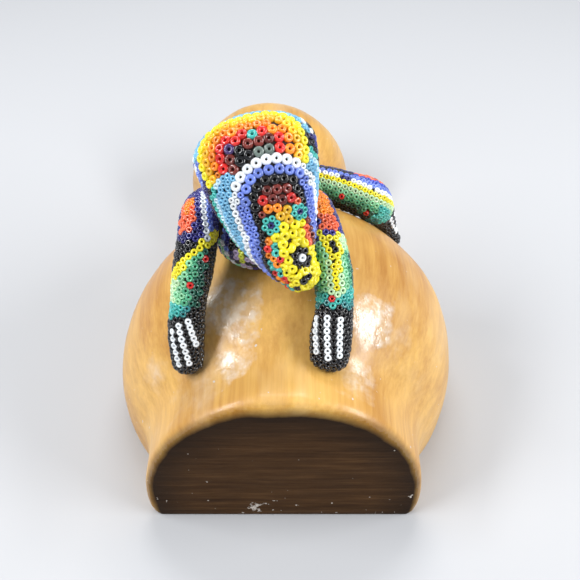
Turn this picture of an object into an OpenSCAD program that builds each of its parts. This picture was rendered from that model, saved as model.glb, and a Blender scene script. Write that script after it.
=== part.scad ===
// Beaded climbing animal on a carved half-gourd base.
// The gourd lies along Y with its flat foot face towards -Y and its underside on Z = 0.
// Left and right are as seen from the foot face, so left is -X.
// A path point is [x, y, z, half width, half height] of the finished, beaded surface,
// measured from the table under the large bulb's centre.

/* [Gourd base] */
// Radius of the large front bulb
bulb_r = 61; // [59:0.5:63]
// Radius of the small rear bulb
rear_r = 38.5; // [36:0.5:41]
// Distance between the centres of the two bulbs
bulb_spacing = 126; // [123:1:130]
// Height of the gourd's axis above the table
axis_z = 11; // [10:0.5:12]
// Distance from the large bulb's centre to the flat foot face
foot_reach = 60; // [58:0.5:63]
// Radius of the foot
foot_r = 45; // [43:0.5:47]
// Rounding of the foot's rim
rim_r = 3; // [1:0.5:4]
// Radius of the hollow curve between the foot and the large bulb
collar_curve = 25; // [18:1:28]
// Radius of the hollow curve at the waist
waist_curve = 45; // [40:1:50]
// Sideways bend of the rear bulb, in degrees
gourd_bend = 3.6; // [0:0.1:5]

/* [Beading] */
// Outer diameter of a small seed bead
bead_d = 2.1; // [1.8:0.1:2.2]
// Outer diameter of a large seed bead, used on the face
face_bead_d = 2.9; // [2.5:0.1:3]
// Thickness of the layer of beads
bead_t = 1.3; // [1:0.1:1.5]
// Thickness of the wax under the beads
wax_t = 1.0; // [0.6:0.1:1.2]

/* [Pegs] */
// Radius of the pegs that hold the torso on the gourd
peg_r = 2; // [1.5:0.1:2.5]
// Length of a peg
peg_length = 20; // [16:1:22]
// Radius of the dowels that hold the head and the limbs
dowel_r = 1.4; // [1:0.1:1.6]
// Length of a limb's dowel
dowel_length = 9; // [7:1:10]
// Length of the head's dowel
neck_dowel_length = 28; // [26:1:30]
// Radius of the bare neck
neck_r = 7; // [6:0.5:7.5]

/* [Hidden] */

$fn = 48;
sides = 16;          // corners round a lofted section
steps = 2;           // sections made between two path points
cap_rings = 4;       // sections that round off an end
coat = bead_t + wax_t;
slack = 0.05;        // clearance of a limb, a neck or a bead in its seat
overrun = 1;         // how far a cutting shape runs past the surface it cuts
far = 200;           // longer than the whole object
seat_reach = 14;     // how far a limb's seat is cut outwards
groove_bends = 2;    // path stretches after the seat that also press into the torso
bead_pitch = 2.25;   // distance between claw beads in a column
claw_gap = 2.6;      // distance between claw columns
claw_tip = 0.4;      // distance of the first claw bead from the end of a path
hand_claw = 6;       // beads in an outer claw column of a hand
foot_claw = 4;       // beads in an outer claw column of a foot
tube_share = 0.21;   // radius of a bead's glass, as a share of its diameter
nub_r = 1.6;         // radius of the drop of wax at the right hand's tip
crossing = 0.3;      // how far a hollow curve runs into the bulb beside it
ring_share = 1.12;   // spacing of the beads round the nose, as a share of their diameter
eye_share = 1.02;    // radius of an eye's ring of beads, as a share of their diameter

bulb_centre = [0, 0, axis_z];
back_y = bulb_spacing * cos(gourd_bend) + rear_r;
mid_y = (back_y - foot_reach) / 2;

torso_path = [[-8, -9.5, 78.5, 13.5, 10.8], [-8.5, 3, 82.5, 14.5, 13.5], [-8, 14, 84, 15.5, 15],
    [-6, 27, 79, 15, 14], [-4, 39, 69.5, 13, 12], [-3, 46, 61, 11, 10]];
head_path = [[-8.2, -10.8, 109.8, 18.3, 11.3], [-6, -16, 102.5, 17, 11.2],
    [-2.8, -22.5, 93.5, 13.5, 9.6], [1.8, -28.5, 85, 8.6, 7], [5, -31, 81, 5.8, 5.5]];
left_arm_path = [[-16, 5, 82.5, 6, 6], [-24, 1, 83, 6.2, 6.2], [-26, -10, 86, 6.2, 6.2],
    [-26.5, -19, 82, 6.2, 6.2], [-27.8, -25, 76, 6.2, 6], [-29.3, -30, 68, 5.5, 5.4],
    [-30, -35.5, 59.5, 5.6, 4.8], [-29.8, -39.5, 52, 4.9, 3.8]];
right_arm_path = [[0, 5, 82.5, 6, 6], [8, 1, 83, 6, 6], [10.5, -10, 86, 6, 6],
    [13, -19, 82.5, 6, 6], [14.8, -25.5, 76.5, 6.2, 6], [15.6, -31.3, 69.2, 5.7, 5.4],
    [14.5, -38.8, 62, 6.4, 5], [14, -43.5, 57.4, 5.8, 4]];
left_leg_path = [[-10, 40, 66, 6, 6], [-18, 47, 61, 6.4, 6.4], [-21, 57, 52, 6.2, 6.2],
    [-18, 66, 45.5, 5.6, 5.4], [-14, 74, 41.5, 5.4, 4.8], [-11, 81, 39, 4.6, 3.8]];
right_leg_path = [[3, 38, 66.5, 6.4, 6.4], [13, 38.5, 67, 6.6, 6.6], [23, 36, 65, 7.4, 7.4],
    [31.6, 34, 62.4, 8, 7.9], [37, 37, 53.5, 5.2, 5], [39.6, 38.6, 46.5, 4, 3.8],
    [42.2, 39.4, 40.8, 3.4, 3.2]];
torso_up = [0, 0, 1];
face_up = [0, -0.81, 0.59];     // the way the face looks
arm_up = [0, -0.45, 0.9];
LIMBS = [[left_arm_path, arm_up], [right_arm_path, arm_up], [left_leg_path, torso_up],
    [right_leg_path, undef]];   // a limb with no up faces away from the large bulb
neck_base = [-7, 3, 86];
neck_top = [-6.5, -10, 104];
front_peg_at = [-8, 11, 56];
rear_peg_at = [-5, 33, 46];
left_eye_at = [21.2, -1.5];     // distance along the head, and to the right
right_eye_at = [19.8, 7.8];
nose_at = [34, 2.8];
mouth_at = [[38.6, -2.6], [39.6, 0.8], [38.2, 4.1]];
nub_at = [13.1, -48.4, 55.4];

// Gourd -------------------------------------------------------------------------------

module revolve_along_y() {
    rotate([-90, 0, 0]) rotate_extrude($fn = 128) intersection() {
        children();
        translate([0, -far]) square([far, 2 * far]);
    }
}

module foot_outline() {
    to_curve = bulb_r + collar_curve - crossing;
    collar_y = -sqrt(pow(to_curve, 2) - pow(foot_r + collar_curve, 2));
    translate([0, -foot_reach]) square([foot_r - rim_r, foot_reach]);
    translate([0, -foot_reach + rim_r]) square([foot_r, foot_reach - rim_r]);
    translate([foot_r - rim_r, -foot_reach + rim_r]) circle(rim_r);
    difference() {
        polygon([[0, collar_y], [foot_r + collar_curve, collar_y], [0, 0]]);
        translate([foot_r + collar_curve, collar_y]) circle(collar_curve);
    }
}

module waist_outline() {
    big = bulb_r + waist_curve - crossing;
    small = rear_r + waist_curve - crossing;
    hollow_y = (big * big - small * small + bulb_spacing * bulb_spacing) / (2 * bulb_spacing);
    hollow_x = sqrt(big * big - hollow_y * hollow_y);
    difference() {
        polygon([[0, 0], [hollow_x, hollow_y], [0, bulb_spacing]]);
        translate([hollow_x, hollow_y]) circle(waist_curve);
    }
}

module gourd_form() {
    translate(bulb_centre) {
        difference() {
            sphere(bulb_r, $fn = 128);
            translate([-far, -far - foot_reach, -far]) cube([2 * far, far, 2 * far]);
        }
        revolve_along_y() foot_outline();
        rotate([0, 0, gourd_bend]) {
            revolve_along_y() waist_outline();
            translate([0, bulb_spacing, 0]) sphere(rear_r, $fn = 128);
        }
    }
}

module gourd_base() {
    color("peru") on_origin() difference() {
        gourd_form();
        translate([-far, -far, -far]) cube([2 * far, 2 * far, far]);
        peg(front_peg_at);
        peg(rear_peg_at);
    }
}

// Moves a piece from the large bulb's place to the origin, under the object's middle.
module on_origin() {
    translate([0, -mid_y, 0]) children();
}

// Lofted forms ------------------------------------------------------------------------

function unit(v) = v / norm(v);
function place_of(s) = [s[0], s[1], s[2]];
function held(p, i) = p[max(0, min(len(p) - 1, i))];
function blend(a, b, c, d, t) = 0.5 * (2 * b + (c - a) * t
    + (2 * a - 5 * b + 4 * c - d) * t * t + (3 * b - a - 3 * c + d) * t * t * t);
function smooth(p) = [for (i = [0:len(p) - 2]) for (k = [0:steps - 1])
    blend(held(p, i - 1), p[i], p[i + 1], held(p, i + 2), k / steps), p[len(p) - 1]];
function heading(s, i) = unit(place_of(held(s, i + 1)) - place_of(held(s, i - 1)));
function square_to(v, t) = unit(v - t * (v * t));
function upright(c, t, up) = square_to(is_undef(up) ? c - bulb_centre : up, t);
function reach(s, inset) = min(s[3], s[4]) - inset;

// One oval section of path s at point i, moved along the path and shrunk for an end.
function section(s, i, up, inset, along = 0, shrink = 1) = let (t = heading(s, i),
    c = place_of(s[i]), v = upright(c, t, up), u = cross(t, v),
    w = (s[i][3] - inset) * shrink, h = (s[i][4] - inset) * shrink)
    [for (k = [0:sides - 1]) let (a = 360 * k / sides)
        c + t * along + u * w * cos(a) + v * h * sin(a)];
function cap(s, i, up, inset, sign) = let (depth = reach(s[i], inset))
    [for (j = [1:cap_rings - 1]) let (a = 90 * j / cap_rings)
        section(s, i, up, inset, sign * depth * sin(a), cos(a))];
function flip(list) = [for (i = [len(list) - 1:-1:0]) list[i]];

// A solid lofted along a path. Its far end is round. Its near end is round too, or for
// a limb's root flat and drawn back by a short way.
module loft(path, up, inset = 0, flat_root = false, back = 0) {
    s = smooth(path);
    n = len(s) - 1;
    near = flat_root ? [section(s, 0, up, inset, -back)]
        : concat(flip(cap(s, 0, up, inset, -1)), [section(s, 0, up, inset)]);
    rings = concat(near, [for (i = [1:n]) section(s, i, up, inset)], cap(s, n, up, inset, 1));
    near_pole = place_of(s[0]) - heading(s, 0) * (flat_root ? back : reach(s[0], inset));
    far_pole = place_of(s[n]) + heading(s, n) * reach(s[n], inset);
    points = concat([near_pole], [for (r = rings) each r], [far_pole]);
    last = len(points) - 1;
    top = 1 + (len(rings) - 1) * sides;
    near_faces = [for (k = [0:sides - 1]) [0, 1 + (k + 1) % sides, 1 + k]];
    far_faces = [for (k = [0:sides - 1]) [last, top + k, top + (k + 1) % sides]];
    side_faces = [for (j = [0:len(rings) - 2]) for (k = [0:sides - 1])
        let (a = 1 + j * sides + k, b = 1 + j * sides + (k + 1) % sides)
        each [[a, b, b + sides], [a, b + sides, a + sides]]];
    polyhedron(points, concat(near_faces, side_faces, far_faces));
}

// Pegs, dowels and neck ---------------------------------------------------------------

// A rod of radius r that starts at a point and runs towards another.
module rod(from, to, r, length) {
    d = unit(to - from);
    translate(from) rotate([0, acos(d[2]), atan2(d[1], d[0])]) cylinder(h = length, r = r);
}

module peg(at) { translate(at) cylinder(h = peg_length, r = peg_r); }

// The dowel runs half in the limb and half in the torso.
module limb_dowel(path) {
    root = place_of(path[0]);
    out = heading(smooth(path), 0);
    rod(root - out * dowel_length / 2, root, dowel_r, dowel_length);
}

// The round flat-bottomed seat for a limb's root, and the groove for its first bends.
module limb_seat(path) {
    root = place_of(path[0]);
    seat_r = max(path[0][3], path[1][3]) + 2 * slack;
    rod(root, root + heading(smooth(path), 0), seat_r, seat_reach);
    for (i = [1:groove_bends]) let (from = place_of(path[i]), to = place_of(path[i + 1]))
        rod(from, to, path[i][3] + slack, norm(to - from));
}

module head_dowel() {
    middle = (neck_base + neck_top) / 2;
    d = unit(neck_top - neck_base);
    rod(middle - d * neck_dowel_length / 2, neck_top, dowel_r, neck_dowel_length);
}

module neck(grow) {
    rod(neck_base, neck_top, neck_r + grow, norm(neck_top - neck_base));
}

// Wooden cores ------------------------------------------------------------------------

module torso_cuts() {
    gourd_form();
    for (limb = LIMBS) limb_seat(limb[0]);
    neck(slack);
}

module torso_core() {
    color("burlywood") on_origin() difference() {
        loft(torso_path, torso_up, coat);
        torso_cuts();
        for (limb = LIMBS) limb_dowel(limb[0]);
        head_dowel();
        peg(front_peg_at);
        peg(rear_peg_at);
    }
}

module head_core() {
    color("burlywood") on_origin() difference() {
        union() {
            loft(head_path, face_up, coat);
            neck(0);
        }
        head_dowel();
    }
}

module limb_core(limb) {
    color("burlywood") on_origin() difference() {
        loft(limb[0], limb[1], coat, true);
        gourd_form();
        limb_dowel(limb[0]);
    }
}

// Wax and bead coats, each between two depths below the beaded surface --------------------

module torso_coat(outer, inner) {
    on_origin() difference() {
        loft(torso_path, torso_up, outer);
        loft(torso_path, torso_up, inner);
        torso_cuts();
    }
}

// The children are holes for single beads.
module head_coat(outer, inner) {
    on_origin() difference() {
        loft(head_path, face_up, outer);
        loft(head_path, face_up, inner);
        neck(slack);
        children();
    }
}

module limb_coat(limb, outer, inner) {
    on_origin() difference() {
        loft(limb[0], limb[1], outer, true);
        loft(limb[0], limb[1], inner, true, overrun);
        gourd_form();
        children();
    }
}

module torso_wax() { color("khaki") torso_coat(bead_t, coat); }

module head_wax() { color("khaki") head_coat(bead_t, coat); }

module limb_wax(limb) { color("khaki") limb_coat(limb, bead_t, coat); }

module torso_beads() { color("royalblue") torso_coat(0, bead_t); }

module head_beads() {
    color("gold") head_coat(0, bead_t)
        for (seats = FACE) holes_for(seats, face_bead_d);
}

module limb_beads(limb, claws) {
    color("mediumseagreen") limb_coat(limb, 0, bead_t) holes_for(claws, bead_d);
}

// The beads round the neck, between the torso's beads and the head's.
module neck_beads() {
    color("skyblue") on_origin() difference() {
        neck(coat);
        neck(slack);
        loft(torso_path, torso_up);
        loft(head_path, face_up);
    }
}

// Single beads ------------------------------------------------------------------------

function step_of(s, i) = norm(place_of(s[i + 1]) - place_of(s[i]));
function path_length(s, i = 0) = i >= len(s) - 1 ? 0 : step_of(s, i) + path_length(s, i + 1);
function at_length(s, d, i = 0) = d <= step_of(s, i) || i >= len(s) - 2
    ? s[i] + (s[i + 1] - s[i]) * d / step_of(s, i) : at_length(s, d - step_of(s, i), i + 1);

// A bead's seat, [middle of the bead, outward direction], at distance d along a
// smoothed path and moved aside from its middle line.
function bead_seat(s, up, d, aside) = let (here = at_length(s, d), c = place_of(here),
    t = unit(place_of(at_length(s, d + 1)) - place_of(at_length(s, d - 1))),
    v = upright(c, t, up), u = cross(v, t), rise = sqrt(1 - pow(aside / here[3], 2)),
    out = unit(u * aside / pow(here[3], 2) + v * rise / here[4]))
    [c + u * aside + v * here[4] * rise - out * bead_t / 2, out];

function claw_seats(limb, count) = let (s = smooth(limb[0]), total = path_length(s))
    [for (c = [-1:1]) for (k = [0:count - 1 - abs(c)])
        bead_seat(s, limb[1], total - claw_tip - k * bead_pitch, c * claw_gap)];
function face_seat(d, aside) = bead_seat(smooth(head_path), face_up, d, aside);
function ring_seats(at) = [for (k = [0:5])
    face_seat(at[0] + ring_share * face_bead_d * sin(60 * k),
        at[1] + ring_share * face_bead_d * cos(60 * k))];
function eye_seats(at) = [for (k = [0:4])
    face_seat(at[0] + eye_share * face_bead_d * sin(72 * k),
        at[1] + eye_share * face_bead_d * cos(72 * k))];

LEFT_HAND = claw_seats(LIMBS[0], hand_claw + 1);
RIGHT_HAND = claw_seats(LIMBS[1], hand_claw + 1);
LEFT_FOOT = claw_seats(LIMBS[2], foot_claw + 1);
RIGHT_FOOT = claw_seats(LIMBS[3], foot_claw + 1);
LEFT_EYE = eye_seats(left_eye_at);
RIGHT_EYE = eye_seats(right_eye_at);
NOSE = concat([face_seat(nose_at[0], nose_at[1])], ring_seats(nose_at));
MOUTH = [for (at = mouth_at) face_seat(at[0], at[1])];
FACE = [LEFT_EYE, RIGHT_EYE, NOSE, MOUTH];

module on_seat(seat) {
    d = seat[1];
    translate(seat[0]) rotate([0, acos(d[2]), atan2(d[1], d[0])]) children();
}

module beads_on(seats, diameter) {
    tube_r = diameter * tube_share;
    on_origin() for (seat = seats)
        on_seat(seat) rotate_extrude() translate([diameter / 2 - tube_r, 0]) circle(tube_r);
}

// Holes in a bead coat for single beads, from the wax outwards.
module holes_for(seats, diameter) {
    for (seat = seats) on_seat(seat)
        translate([0, 0, -bead_t]) cylinder(h = 3 * bead_t, r = diameter / 2 + slack);
}

module claw_beads(seats) { color("white") beads_on(seats, bead_d); }

module eye_beads(seats) { color("turquoise") beads_on(seats, face_bead_d); }

module nose_beads() { color("black") beads_on(NOSE, face_bead_d); }

module mouth_beads() { color("black") beads_on(MOUTH, face_bead_d); }

module wax_nub() {
    color("gray") on_origin() difference() {
        translate(nub_at) sphere(nub_r);
        gourd_form();
    }
}

module torso_peg(at) { color("tan") on_origin() peg(at); }

module neck_dowel() { color("tan") on_origin() head_dowel(); }

module limb_dowel_part(limb) { color("tan") on_origin() limb_dowel(limb[0]); }

// The parts ---------------------------------------------------------------------------

gourd_base();
torso_core();
head_core();
limb_core(LIMBS[0]);  // left_arm_core
limb_core(LIMBS[1]);  // right_arm_core
limb_core(LIMBS[2]);  // left_leg_core
limb_core(LIMBS[3]);  // right_leg_core
torso_wax();
head_wax();
limb_wax(LIMBS[0]);  // left_arm_wax
limb_wax(LIMBS[1]);  // right_arm_wax
limb_wax(LIMBS[2]);  // left_leg_wax
limb_wax(LIMBS[3]);  // right_leg_wax
torso_beads();
head_beads();
neck_beads();
limb_beads(LIMBS[0], LEFT_HAND);  // left_arm_beads
limb_beads(LIMBS[1], RIGHT_HAND);  // right_arm_beads
limb_beads(LIMBS[2], LEFT_FOOT);  // left_leg_beads
limb_beads(LIMBS[3], RIGHT_FOOT);  // right_leg_beads
claw_beads(LEFT_HAND);  // left_hand_claws
claw_beads(RIGHT_HAND);  // right_hand_claws
claw_beads(LEFT_FOOT);  // left_foot_claws
claw_beads(RIGHT_FOOT);  // right_foot_claws
eye_beads(LEFT_EYE);  // left_eye_beads
eye_beads(RIGHT_EYE);  // right_eye_beads
nose_beads();
mouth_beads();
torso_peg(front_peg_at);  // front_peg
torso_peg(rear_peg_at);  // rear_peg
neck_dowel();
limb_dowel_part(LIMBS[0]);  // left_arm_dowel
limb_dowel_part(LIMBS[1]);  // right_arm_dowel
limb_dowel_part(LIMBS[2]);  // left_leg_dowel
limb_dowel_part(LIMBS[3]);  // right_leg_dowel
wax_nub();
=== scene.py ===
"""Looks of the beaded climbing animal on its half-gourd base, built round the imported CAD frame."""

import itertools
import math
import random
from collections import deque

import bpy
import numpy as np
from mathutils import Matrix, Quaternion, Vector, noise
from mathutils.bvhtree import BVHTree


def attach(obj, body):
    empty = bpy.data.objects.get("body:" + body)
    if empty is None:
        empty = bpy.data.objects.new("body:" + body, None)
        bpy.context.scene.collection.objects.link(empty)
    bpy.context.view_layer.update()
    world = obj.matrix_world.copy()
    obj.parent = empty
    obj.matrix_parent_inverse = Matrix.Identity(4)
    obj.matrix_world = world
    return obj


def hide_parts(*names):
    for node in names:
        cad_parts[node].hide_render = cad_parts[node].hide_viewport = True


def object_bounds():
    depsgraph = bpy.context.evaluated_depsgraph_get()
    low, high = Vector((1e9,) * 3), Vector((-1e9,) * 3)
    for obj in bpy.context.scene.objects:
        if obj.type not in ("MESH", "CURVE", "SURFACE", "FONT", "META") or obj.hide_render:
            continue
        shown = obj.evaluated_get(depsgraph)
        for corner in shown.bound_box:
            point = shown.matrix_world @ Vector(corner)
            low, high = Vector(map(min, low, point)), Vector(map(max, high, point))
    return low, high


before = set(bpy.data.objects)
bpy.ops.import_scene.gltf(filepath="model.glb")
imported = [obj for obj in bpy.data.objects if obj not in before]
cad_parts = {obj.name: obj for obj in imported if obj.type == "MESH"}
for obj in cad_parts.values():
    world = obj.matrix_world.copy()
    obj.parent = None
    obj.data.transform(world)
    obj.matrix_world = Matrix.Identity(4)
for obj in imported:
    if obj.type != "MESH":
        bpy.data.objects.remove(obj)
cad_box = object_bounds()

MM = 0.001
ROW_FOOT_Y = cad_box[0][1] / MM    # the foot face, in millimetres
FOOT_REACH = 60                    # foot face to the large bulb's centre
SHIFT = np.array([0.0, ROW_FOOT_Y + FOOT_REACH, 0.0])   # from the large bulb's place to the row frame
AXIS_Z = 11                        # height of the gourd's axis
BULB = SHIFT + (0, 0, AXIS_Z)      # centre of the large bulb
BULB_R = 61

# ---------- forms under the beads

# Path points are [x, y, z, half width, half height] in mm, measured from under the large bulb,
# as in the part's source.
PATHS = {
    "torso": [[-8, -9.5, 78.5, 13.5, 10.8], [-8.5, 3, 82.5, 14.5, 13.5], [-8, 14, 84, 15.5, 15],
              [-6, 27, 79, 15, 14], [-4, 39, 69.5, 13, 12], [-3, 46, 61, 11, 10]],
    "head": [[-8.2, -10.8, 109.8, 18.3, 11.3], [-6, -16, 102.5, 17, 11.2],
             [-2.8, -22.5, 93.5, 13.5, 9.6], [1.8, -28.5, 85, 8.6, 7], [5, -31, 81, 5.8, 5.5]],
    "left_arm": [[-16, 5, 82.5, 6, 6], [-24, 1, 83, 6.2, 6.2], [-26, -10, 86, 6.2, 6.2],
                 [-26.5, -19, 82, 6.2, 6.2], [-27.8, -25, 76, 6.2, 6], [-29.3, -30, 68, 5.5, 5.4],
                 [-30, -35.5, 59.5, 5.6, 4.8], [-29.8, -39.5, 52, 4.9, 3.8]],
    "right_arm": [[0, 5, 82.5, 6, 6], [8, 1, 83, 6, 6], [10.5, -10, 86, 6, 6],
                  [13, -19, 82.5, 6, 6], [14.8, -25.5, 76.5, 6.2, 6],
                  [15.6, -31.3, 69.2, 5.7, 5.4], [14.5, -38.8, 62, 6.4, 5],
                  [14, -43.5, 57.4, 5.8, 4]],
    "left_leg": [[-10, 40, 66, 6, 6], [-18, 47, 61, 6.4, 6.4], [-21, 57, 52, 6.2, 6.2],
                 [-18, 66, 45.5, 5.6, 5.4], [-14, 74, 41.5, 5.4, 4.8], [-11, 81, 39, 4.6, 3.8]],
    "right_leg": [[3, 38, 66.5, 6.4, 6.4], [13, 38.5, 67, 6.6, 6.6], [23, 36, 65, 7.4, 7.4],
                  [31.6, 34, 62.4, 8, 7.9], [37, 37, 53.5, 5.2, 5], [39.6, 38.6, 46.5, 4, 3.8],
                  [42.2, 39.4, 40.8, 3.4, 3.2]],
    "neck": [[-7, 3, 86, 9.3, 9.3], [-6.7, -4, 95, 9.3, 9.3], [-6.5, -10, 104, 9.3, 9.3]],
}
UPS = {"torso": (0, 0, 1), "head": (0, -0.81, 0.59), "left_arm": (0, -0.45, 0.9),
       "right_arm": (0, -0.45, 0.9), "left_leg": (0, 0, 1), "right_leg": None,
       "neck": (0, -0.81, 0.59)}
STEPS = 10        # sections made between two path points
SECTORS = 72      # points round a section
CAP_RINGS = 8     # sections that round off an end


def unit(v):
    return v / np.linalg.norm(v)


def smooth_path(points):
    """The same smooth curve through the path points as the part's source draws, but finer."""
    p = np.array(points, float)
    last = len(p) - 1
    out = []
    for i in range(last):
        a, b, c, d = p[max(0, i - 1)], p[i], p[i + 1], p[min(last, i + 2)]
        for k in range(STEPS):
            t = k / STEPS
            out.append(0.5 * (2 * b + (c - a) * t + (2 * a - 5 * b + 4 * c - d) * t * t
                              + (3 * b - a - 3 * c + d) * t ** 3))
    out.append(p[-1])
    return np.array(out)


class Form:
    """A lofted body part: a closed surface with a chart. A chart point is (d, s): distance along
    the path, and distance round the section from its outward line, to the right."""

    def __init__(self, name):
        q = smooth_path(PATHS[name])
        centres = q[:, :3] + SHIFT
        last = len(q) - 1
        stations = []
        headings = [unit(centres[min(last, i + 1)] - centres[max(0, i - 1)]) for i in range(last + 1)]
        frames = []
        for c, t in zip(centres, headings):
            up = c - BULB if UPS[name] is None else np.array(UPS[name], float)
            v = unit(up - t * (up @ t))
            frames.append((np.cross(v, t), v))
        lengths = np.concatenate([[0], np.cumsum(np.linalg.norm(np.diff(centres, axis=0), axis=1))])
        for sign, i in ((-1, 0), (1, last)):
            reach = min(q[i, 3], q[i, 4])
            turns = np.linspace(math.pi / 2, 0, CAP_RINGS + 1)[:-1]
            cap = [(centres[i] + sign * headings[i] * reach * math.sin(a), frames[i],
                    q[i, 3:] * max(math.cos(a), 0.02), lengths[i] + sign * reach * a) for a in turns]
            if sign < 0:
                stations += cap
                stations += [(centres[j], frames[j], q[j, 3:], lengths[j]) for j in range(last + 1)]
            else:
                stations += cap[::-1]
        angles = np.linspace(-math.pi, math.pi, SECTORS + 1)
        sin, cos = np.sin(angles)[:, None], np.cos(angles)[:, None]
        rows, around, along = [], [], []
        for c, (u, v), (w, h), d in stations:
            ring = c + u * w * sin + v * h * cos
            walk = np.concatenate([[0], np.cumsum(np.linalg.norm(np.diff(ring, axis=0), axis=1))])
            rows.append(ring)
            around.append(walk - walk[SECTORS // 2])
            along.append(np.full(SECTORS + 1, d))
        self.points = np.array(rows)
        self.s = np.array(around)
        self.d = np.array(along)
        n, m = self.s.shape
        self.quads = [(i * m + k, (i + 1) * m + k, (i + 1) * m + k + 1, i * m + k + 1)
                      for i in range(n - 1) for k in range(m - 1)]
        self.tree = BVHTree.FromPolygons(self.points.reshape(-1, 3).tolist(), self.quads)

    def nearest(self, p):
        """(surface point, outward normal, d, s) nearest to p."""
        at, n, index, _ = self.tree.find_nearest(Vector(p))
        at, n = np.array(at), np.array(n)
        i, k = divmod(index, SECTORS)
        a = self.points[i, k]
        along, around = self.points[i + 1, k] - a, self.points[i, k + 1] - a
        x = float(np.clip((at - a) @ along / max(along @ along, 1e-9), 0, 1))
        y = float(np.clip((at - a) @ around / max(around @ around, 1e-9), 0, 1))
        d = self.d[i, k] + x * (self.d[i + 1, k] - self.d[i, k])
        s0, s1 = (self.s[j, k] + y * (self.s[j, k + 1] - self.s[j, k]) for j in (i, i + 1))
        return at, n, d, s0 + x * (s1 - s0)

    def at(self, d, s):
        """The surface point at chart point (d, s)."""
        stations = self.d[:, 0]
        i = int(np.clip(np.searchsorted(stations, d) - 1, 0, len(stations) - 2))
        x = float(np.clip((d - stations[i]) / (stations[i + 1] - stations[i]), 0, 1))
        ends = []
        for j in (i, i + 1):
            ends.append(np.array([np.interp(s, self.s[j], self.points[j, :, c]) for c in range(3)]))
        return ends[0] + x * (ends[1] - ends[0])

    def depth(self, p):
        """How far p is inside the form; negative outside."""
        at, n, _, _ = self.tree.find_nearest(Vector(p))
        return -(Vector(p) - at).dot(n)


forms = {name: Form(name) for name in PATHS}


def gourd_clearance(p):
    """How far p is outside the gourd, near the bulbs."""
    large = np.linalg.norm(p - BULB) - BULB_R
    at, n, _, _ = gourd_tree.find_nearest(Vector(p) * MM)
    small = (Vector(p) * MM - at).dot(n) / MM
    return min(large, small)


# ---------- glass beads

BIG, MID, SMALL, FINE = 3.0, 2.6, 2.1, 1.8   # pitch of the beads in mm
BEAD_SHARE = 1.09                  # a bead's diameter, as a share of its pitch

# name: (linear colour, roughness, tint spread)
GLASS = {
    "white": ((0.86, 0.90, 0.93), 0.16, 0.05),
    "lemon": ((0.92, 0.80, 0.02), 0.18, 0.08),
    "amber": ((0.90, 0.50, 0.015), 0.18, 0.12),
    "ochre": ((0.72, 0.42, 0.015), 0.18, 0.12),
    "orange": ((0.90, 0.25, 0.012), 0.16, 0.14),
    "coral": ((0.88, 0.15, 0.06), 0.16, 0.15),
    "red": ((0.70, 0.025, 0.02), 0.14, 0.18),
    "brown": ((0.16, 0.026, 0.020), 0.10, 0.30),
    "black": ((0.008, 0.008, 0.010), 0.08, 0.30),
    "gunmetal": ((0.13, 0.17, 0.15), 0.06, 0.25),
    "purple": ((0.055, 0.03, 0.12), 0.07, 0.20),
    "periwinkle": ((0.17, 0.25, 0.72), 0.16, 0.14),
    "royal": ((0.06, 0.10, 0.50), 0.15, 0.18),
    "navy": ((0.030, 0.028, 0.19), 0.10, 0.30),
    "sky": ((0.20, 0.50, 0.74), 0.18, 0.12),
    "pale": ((0.55, 0.76, 0.88), 0.18, 0.07),
    "turquoise": ((0.06, 0.48, 0.43), 0.15, 0.12),
    "teal": ((0.03, 0.24, 0.25), 0.13, 0.18),
    "palemint": ((0.58, 0.84, 0.50), 0.18, 0.08),
    "mint": ((0.27, 0.66, 0.37), 0.16, 0.12),
    "green": ((0.09, 0.40, 0.22), 0.13, 0.18),
    "pine": ((0.018, 0.11, 0.075), 0.10, 0.25),
    "lilac": ((0.50, 0.40, 0.62), 0.18, 0.10),
    "lime": ((0.55, 0.62, 0.06), 0.18, 0.10),
}
TINTS = 3      # shades of each glass


def principled(name):
    mat = bpy.data.materials.new(name)
    mat.use_nodes = True
    return mat, mat.node_tree, mat.node_tree.nodes["Principled BSDF"]


def node(tree, kind, **settings):
    n = tree.nodes.new(kind)
    for key, value in settings.items():
        if key in n.inputs:
            n.inputs[key].default_value = value
        else:
            setattr(n, key, value)
    return n


def glass(name, colour, roughness):
    """Glossy pressed glass, with uneven polish."""
    mat, tree, shader = principled(name)
    shader.inputs["Base Color"].default_value = (*colour, 1)
    shader.inputs["IOR"].default_value = 1.52
    shader.inputs["Coat Weight"].default_value = 0.5
    shader.inputs["Coat Roughness"].default_value = 0.06
    where = node(tree, "ShaderNodeTexCoord")
    polish = node(tree, "ShaderNodeTexNoise", Scale=900.0, Detail=2.0)
    spread = node(tree, "ShaderNodeMapRange")
    spread.inputs["To Min"].default_value = roughness * 0.6
    spread.inputs["To Max"].default_value = roughness * 2.0
    tree.links.new(where.outputs["Object"], polish.inputs["Vector"])
    tree.links.new(polish.outputs["Fac"], spread.inputs["Value"])
    tree.links.new(spread.outputs["Result"], shader.inputs["Roughness"])
    return mat


glasses, glass_index = [], {}
for name, (colour, roughness, spread) in GLASS.items():
    for tint in range(TINTS):
        k = 1 + spread * (tint - (TINTS - 1) / 2)
        glass_index[name, tint] = len(glasses)
        glasses.append(glass(f"glass_{name}_{tint}", tuple(min(1, c * k) for c in colour), roughness))


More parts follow.
